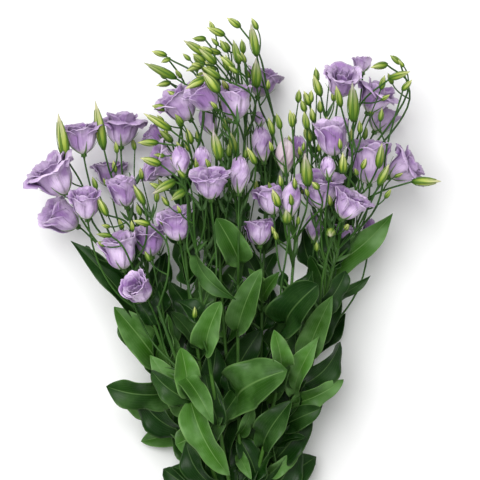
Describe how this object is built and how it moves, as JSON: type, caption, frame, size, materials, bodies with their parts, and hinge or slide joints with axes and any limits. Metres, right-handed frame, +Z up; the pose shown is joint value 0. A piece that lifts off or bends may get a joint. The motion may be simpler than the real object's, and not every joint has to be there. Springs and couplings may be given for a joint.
{
  "type": "lisianthus bouquet",
  "caption": "Loose tied bunch of lavender double lisianthus, with full blooms, green buds and clasping leaves, laid down on its side.",
  "frame": {"origin": "middle of the bunch's box in plan, on the surface that it lies on", "axes": "+Y along the bunch from the cut ends to the flowers, +Z up from the surface, +X to the right of the bunch seen from above"},
  "size_m": [0.4966, 0.7044, 0.1956],
  "materials": {
    "petals": "satin lavender petals with pale bases and darker folds",
    "pale_petals": "satin pale pink petals",
    "green": "waxy green stems, leaves, calyces and closed buds",
    "raffia": "dry straw-coloured raffia"
  },
  "bodies": {
    "root": {"stem_01": "green", "stem_02": "green", "stem_03": "green", "stem_04": "green", "stem_05": "green", "stem_06": "green", "stem_07": "green", "stem_08": "green", "stem_09": "green", "stem_10": "green", "stem_11": "green", "stem_12": "green", "bloom_01": "petals", "bloom_02": "petals", "bloom_03": "petals", "bloom_04": "petals", "bloom_05": "petals", "bloom_06": "petals", "bloom_07": "petals", "bloom_08": "petals", "bloom_09": "petals", "bloom_10": "petals", "bloom_11": "petals", "bloom_12": "petals", "bloom_13": "petals", "bloom_14": "petals", "bloom_15": "petals", "bloom_16": "petals", "bloom_17": "petals", "bloom_18": "petals", "bloom_19": "petals", "bloom_20": "petals", "bloom_21": "petals", "bloom_22": "petals", "bloom_23": "petals", "bloom_24": "petals", "bloom_25": "petals", "bloom_26": "petals", "bloom_27": "petals", "bloom_28": "petals", "bloom_29": "petals", "bloom_30": "petals", "bloom_31": "petals", "bloom_32": "petals", "bloom_33": "petals", "bloom_34": "pale_petals", "bloom_35": "petals", "bloom_36": "petals", "bloom_37": "petals", "bloom_38": "petals", "bloom_39": "petals", "bloom_40": "petals", "bloom_41": "petals", "bloom_42": "petals", "bloom_43": "petals", "bloom_44": "petals", "tie": "raffia"}
  },
  "joints": []
}
